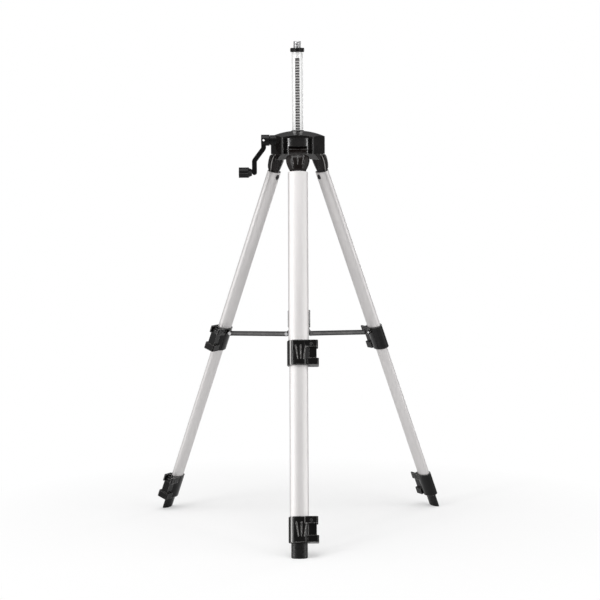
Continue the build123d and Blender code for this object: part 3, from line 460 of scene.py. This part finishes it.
# Materials of the CAD nodes
HEAD_WORN = (0.06, 0.055, 0.053)
HEAD_BLACK = plastic("head_black", (0.0055, 0.0047, 0.0045), HEAD_WORN, 0.15, 0.4, shiny=barrel_faces)
MATT_BLACK = plastic("matt_black", (0.0035, 0.0034, 0.0035), (0.03, 0.03, 0.03), 0.36, 0.2)
LEVER_BLACK = plastic("lever_black", (0.0034, 0.0032, 0.0032), (0.3, 0.29, 0.285), 0.16, 0.25, soft=1.2 * MM)
GLIDE_GREY = plastic("glide_grey", (0.05, 0.05, 0.052), (0.12, 0.12, 0.12), 0.45, 0.35)
GRIP_BLACK = plastic("grip_black", (0.0045, 0.0045, 0.0045), (0.03, 0.03, 0.03), 0.34, 0.25, grain=0.3)
STEEL = polished("pin_steel", (0.62, 0.62, 0.625), 0.2, 0.14)
STUD_STEEL = polished("stud_steel", (0.65, 0.65, 0.655), 0.06, 0.08)
RIVET_STEEL = polished("rivet_steel", (0.42, 0.42, 0.425), 0.26, 0.14)
DARK_STEEL = polished("dark_steel", (0.05, 0.05, 0.051), 0.3, 0.16, 0.6)
SHAFT_STEEL = polished("shaft_steel", (0.55, 0.55, 0.555), 0.28, 0.16)
FOOT_RUBBER = rubber("foot_rubber", (0.004, 0.004, 0.004))

BY_NAME = {
    "crank_grip": GRIP_BLACK,
    "crank_arm": MATT_BLACK,
    "crank_bush": MATT_BLACK,
    "platform": MATT_BLACK,
    "column_tube": white_tube("column_white"),
    "column_rack": rack("rack_grey"),
    "pinion_shaft": SHAFT_STEEL,
    "leg_hinge_pins": DARK_STEEL,
    "instrument_stud": STUD_STEEL,
    "grip_axle": STEEL,
    **leg_plastics(),
}
BY_ENDING = {
    "_lever": LEVER_BLACK,
    "_glide": GLIDE_GREY,
    "_foot": FOOT_RUBBER,
    "_rivet": RIVET_STEEL,
    "_pin": DARK_STEEL,
}
BY_LEG = {
    "_tube": {leg: aluminium(leg) for leg in LEGS},
    "_brace": {leg: painted(leg) for leg in LEGS},
    "_upper_pins": {leg: two_pins(leg) for leg in LEGS},
}


def material_for(name):
    """A node's material, by its name, by its name's ending, or by that and its leg."""
    if name in BY_NAME:
        return BY_NAME[name]
    for ending, material in BY_ENDING.items():
        if name.endswith(ending):
            return material
    for ending, materials in BY_LEG.items():
        if name.endswith(ending):
            return materials[leg_of(name)]
    return HEAD_BLACK


for name, node in nodes.items():
    node.data.materials.clear()
    node.data.materials.append(material_for(name))


# Pieces
def mesh_object(name, mesh, material):
    """A finished mesh as an object of the scene."""
    data = bpy.data.meshes.new(name)
    mesh.to_mesh(data)
    mesh.free()
    data.materials.append(material)
    obj = bpy.data.objects.new(name, data)
    scene.collection.objects.link(obj)
    return obj


def piece(name, mesh, body, material):
    """A finished mesh as a smooth piece that rides on a body."""
    obj = mesh_object(name, mesh, material)
    for polygon in obj.data.polygons:
        polygon.use_smooth = True
    obj.data.set_sharp_from_angle(angle=SHARP_ANGLE)
    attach(obj, body)
    return obj


def lathe(rings, around, spin):
    """Mesh over rings of (radius, height), closed at both ends. Spin shapes each ring as it turns."""
    mesh = bmesh.new()
    made = []
    for radius, height in rings:
        ring = []
        for step in range(around):
            turn = math.tau * step / around
            out, rise = spin(radius, height, turn)
            ring.append(mesh.verts.new((out * math.cos(turn), out * math.sin(turn), rise)))
        made.append(ring)
    for low, high in zip(made, made[1:]):
        for step in range(around):
            after = (step + 1) % around
            mesh.faces.new((low[step], low[after], high[after], high[step]))
    mesh.faces.new(made[-1])
    mesh.faces.new(list(reversed(made[0])))
    return mesh


def stud_thread():
    """Threaded stud: a right-hand thread with a lead-in chamfer, a plain neck and a plug."""
    mount = next(m for m in frame["record"]["mounts"] if m["name"] == "instrument_stud")
    low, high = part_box("instrument_stud")
    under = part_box("platform")[0].z
    crest, top = mount["dims"]["r_mm"] * MM, high.z
    plug = (high.x - low.x) / 2
    pitch = INCH / THREADS_PER_INCH
    chamfer_from = mount["dims"]["length_mm"] * MM
    rows = math.ceil(top / pitch * THREAD_STEPS)

    def thread(radius, z, turn):
        if z < 0 or radius < crest:
            return radius, z
        phase = (z / pitch - turn / math.tau) % 1.0
        ridge = min(1.0, max(0.0, RIDGE_PEAK - RIDGE_FALL * abs(phase - 0.5)))
        ridge = 1 - min(1.0, z / THREAD_RUN_OUT) * (1 - ridge)
        chamfer = crest - max(0.0, z - chamfer_from) * CHAMFER_SLOPE
        return min(THREAD_ROOT + (crest - THREAD_ROOT) * ridge, chamfer), z

    rings = [(plug, low.z), (plug, under), (NECK_RADIUS, under), (NECK_RADIUS, NECK_TOP)]
    rings += [(crest, top * row / rows) for row in range(rows + 1)]
    obj = piece("stud_thread", lathe(rings, STUD_AROUND, thread), "column", STUD_STEEL)
    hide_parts("instrument_stud")


def cap_screw(leg):
    """Pan-head screw with a cross recess that holds the cap, on the tube's inner face."""
    sideways, face, down = leg_axes(leg)
    tube = f"{leg}_upper_tube"
    place = face * reach(tube, face)[0] + down * (reach(tube, down)[0] + SCREW_DROP)

    def recess(radius, height, turn):
        off = abs(math.sin(2 * turn)) * radius
        if RECESS_FROM < radius < RECESS_TO and off < RECESS_HALF:
            return radius, height - RECESS_DEPTH
        return radius, height

    mesh = lathe(SCREW_RIM + SCREW_CROWN, SCREW_AROUND, recess)
    turned = Matrix((sideways, down, -face)).transposed().to_4x4()
    placed = Matrix.Translation(place) @ turned @ Matrix.Scale(MM, 4)
    bmesh.ops.transform(mesh, matrix=placed, verts=mesh.verts)
    bmesh.ops.recalc_face_normals(mesh, faces=mesh.faces)
    piece(f"{leg}_cap_screw", mesh, f"{leg}_leg", DARK_STEEL)


stud_thread()
for leg in LEGS:
    cap_screw(leg)


# Floor
def floor_material():
    """White paper: keeps the shadow near the feet and turns to plain white to the camera further out."""
    s = Shader("studio_floor")
    s.set(Roughness=0.9, Specular_IOR_Level=0.0)
    glow = s.add("ShaderNodeEmission")
    glow.inputs["Color"].default_value = (1, 1, 1, 1)
    far = s.ramp(s.length(s.coords), NEAR_WHITE, 1.0, SHADOW_NEAR, SHADOW_FAR)
    seen = s.add("ShaderNodeLightPath").outputs["Is Camera Ray"]
    s.drive(Base_Color=s.mix(seen, FLOOR_BOUNCE, FLOOR_SEEN))
    blend = s.add("ShaderNodeMixShader")
    s.link(s.math("MULTIPLY", far, seen), blend.inputs["Fac"])
    s.link(s.bsdf.outputs["BSDF"], blend.inputs[1])
    s.link(glow.outputs["Emission"], blend.inputs[2])
    s.link(blend.outputs["Shader"], s.output.inputs["Surface"])
    return s.material


def floor():
    """Round sheet of paper under the feet."""
    mesh = bmesh.new()
    bmesh.ops.create_circle(mesh, cap_ends=True, radius=FLOOR_RADIUS, segments=FLOOR_SEGMENTS)
    obj = mesh_object("floor", mesh, floor_material())
    obj.location = (0, 0, FLOOR_Z)


floor()


# Light
def world():
    """White to the camera, and to all else a light tent with two sides, a dim room and the paper behind."""
    shell = bpy.data.worlds.new("studio")
    scene.world = shell
    shell.use_nodes = True
    tree = shell.node_tree
    tree.nodes.clear()
    add, link = tree.nodes.new, tree.links.new
    split = add("ShaderNodeSeparateXYZ")
    link(add("ShaderNodeTexCoord").outputs["Generated"], split.inputs[0])

    def scaled(axis, low, high, start, end):
        node = add("ShaderNodeMapRange")
        node.interpolation_type = "SMOOTHSTEP"
        for key, value in (("From Min", start), ("From Max", end), ("To Min", low), ("To Max", high)):
            node.inputs[key].default_value = value
        link(split.outputs[axis], node.inputs["Value"])
        return node.outputs["Result"]

    def joined(operation, first, second):
        node = add("ShaderNodeMath")
        node.operation = operation
        link(first, node.inputs[0])
        link(second, node.inputs[1])
        return node.outputs[0]

    def background(strength):
        node = add("ShaderNodeBackground")
        node.inputs["Color"].default_value = (1, 1, 1, 1)
        node.inputs["Strength"].default_value = strength
        return node

    start, full = TENT_EDGE
    left = joined("MULTIPLY", scaled("X", TENT_LEFT, GAP, -full, -start), scaled("Y", 1.0, 0.0, *LEFT_END))
    right = joined("MULTIPLY", scaled("X", GAP, TENT_RIGHT, start, full), scaled("Y", 1.0, 0.0, *RIGHT_END))
    paper = joined("MULTIPLY", scaled("Y", 0.0, PAPER, *PAPER_EDGE), scaled("Z", 1.0, 0.0, *HORIZON))
    above = scaled("Z", ROOM, CEILING, *CEILING_EDGE)
    brightest = joined("MAXIMUM", joined("MAXIMUM", left, right), joined("MAXIMUM", above, paper))
    lit, white = background(ROOM), background(1.0)
    link(brightest, lit.inputs["Strength"])
    choose = add("ShaderNodeMixShader")
    link(add("ShaderNodeLightPath").outputs["Is Camera Ray"], choose.inputs["Fac"])
    link(lit.outputs[0], choose.inputs[1])
    link(white.outputs[0], choose.inputs[2])
    link(choose.outputs[0], add("ShaderNodeOutputWorld").inputs["Surface"])


def softbox(name, azimuth, elevation, distance, width, height, level):
    """Soft rectangular light. Azimuth turns right from the camera's side, level is the face's brightness."""
    data = bpy.data.lights.new(name, "AREA")
    data.shape = "RECTANGLE"
    data.size, data.size_y = width, height
    data.energy = level * math.pi * width * height
    around, up = math.radians(azimuth), math.radians(elevation)
    away = Vector((math.sin(around) * math.cos(up), -math.cos(around) * math.cos(up), math.sin(up)))
    lamp = bpy.data.objects.new(name, data)
    lamp.location = LAMPS_AIM + away * distance
    lamp.rotation_mode = "QUATERNION"
    lamp.rotation_quaternion = (-away).to_track_quat("-Z", "Y")
    scene.collection.objects.link(lamp)


world()
softbox("left_strip", azimuth=-43, elevation=16, distance=2.6, width=0.18, height=3.0, level=12.5)
softbox("right_strip", azimuth=43, elevation=10, distance=2.6, width=0.14, height=2.2, level=8.0)
softbox("front", azimuth=-10, elevation=68, distance=2.6, width=1.6, height=1.4, level=2.9)
softbox("rim", azimuth=146, elevation=10, distance=2.7, width=0.4, height=2.0, level=4.0)
softbox("top", azimuth=0, elevation=86, distance=2.4, width=1.8, height=1.8, level=1.4)


# Camera
def camera():
    data = bpy.data.cameras.new("camera")
    data.sensor_width = SENSOR_WIDTH
    data.lens = SENSOR_WIDTH * FOCAL_PIXELS / PHOTO_WIDTH
    obj = bpy.data.objects.new("camera", data)
    facing = Matrix.Rotation(HEADING, 3, "Z")
    turn = facing @ Matrix.Rotation(math.pi / 2 - PITCH, 3, "X") @ Matrix.Rotation(ROLL, 3, "Z")
    obj.location = facing @ CAMERA_PLACE
    obj.rotation_euler = turn.to_euler()
    scene.collection.objects.link(obj)
    scene.camera = obj


camera()
scene.view_settings.view_transform = "Standard"
